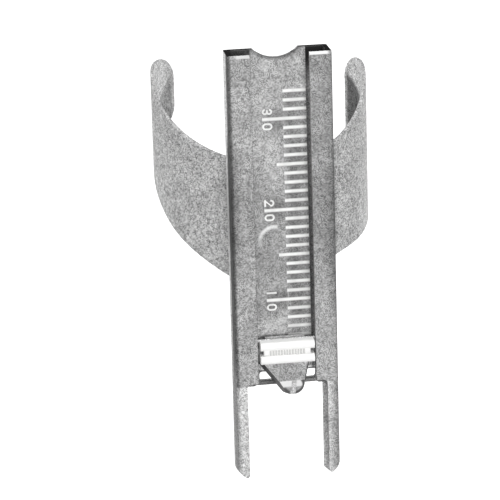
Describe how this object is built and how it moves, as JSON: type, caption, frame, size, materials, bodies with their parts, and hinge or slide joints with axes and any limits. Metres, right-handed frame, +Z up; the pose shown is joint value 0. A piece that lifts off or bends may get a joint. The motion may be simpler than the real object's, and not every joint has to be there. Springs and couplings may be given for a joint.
{
  "type": "endodontic gauge",
  "caption": "Finger-worn length gauge: folded steel channel with a millimetre scale, captured thumb slider with an index nose, guard prongs at the foot and an open spring ring behind.",
  "frame": {"origin": "on the finger ring's axis, half way up its band", "axes": "+Z up the scale along the ring's axis, the scale faces -Y, +X to the right as the scale is seen"},
  "size_m": [0.0236, 0.0243, 0.0475],
  "materials": {
    "satin_steel": "satin, fine grain",
    "scale_steel": "matt satin",
    "spring_steel": "satin, fine grain",
    "white_fill": "enamel fill",
    "white_plastic": "semi-gloss moulding"
  },
  "bodies": {
    "gauge": {"channel_body": "satin_steel", "scale_plate": "scale_steel", "scale_marks": "white_fill", "scale_numerals": "white_fill", "ring_saddle": "satin_steel", "finger_ring": "spring_steel", "ring_rivets": "satin_steel"},
    "slider": {"cursor_runner": "satin_steel", "thumb_grip": "white_plastic", "index_nose": "satin_steel", "cursor_rivets": "satin_steel", "drag_springs": "spring_steel"}
  },
  "joints": [
    {"name": "slider_travel", "type": "slide", "parent": "gauge", "child": "slider", "axis": [0, 0, 1], "range_m": [0, 0.03]}
  ]
}
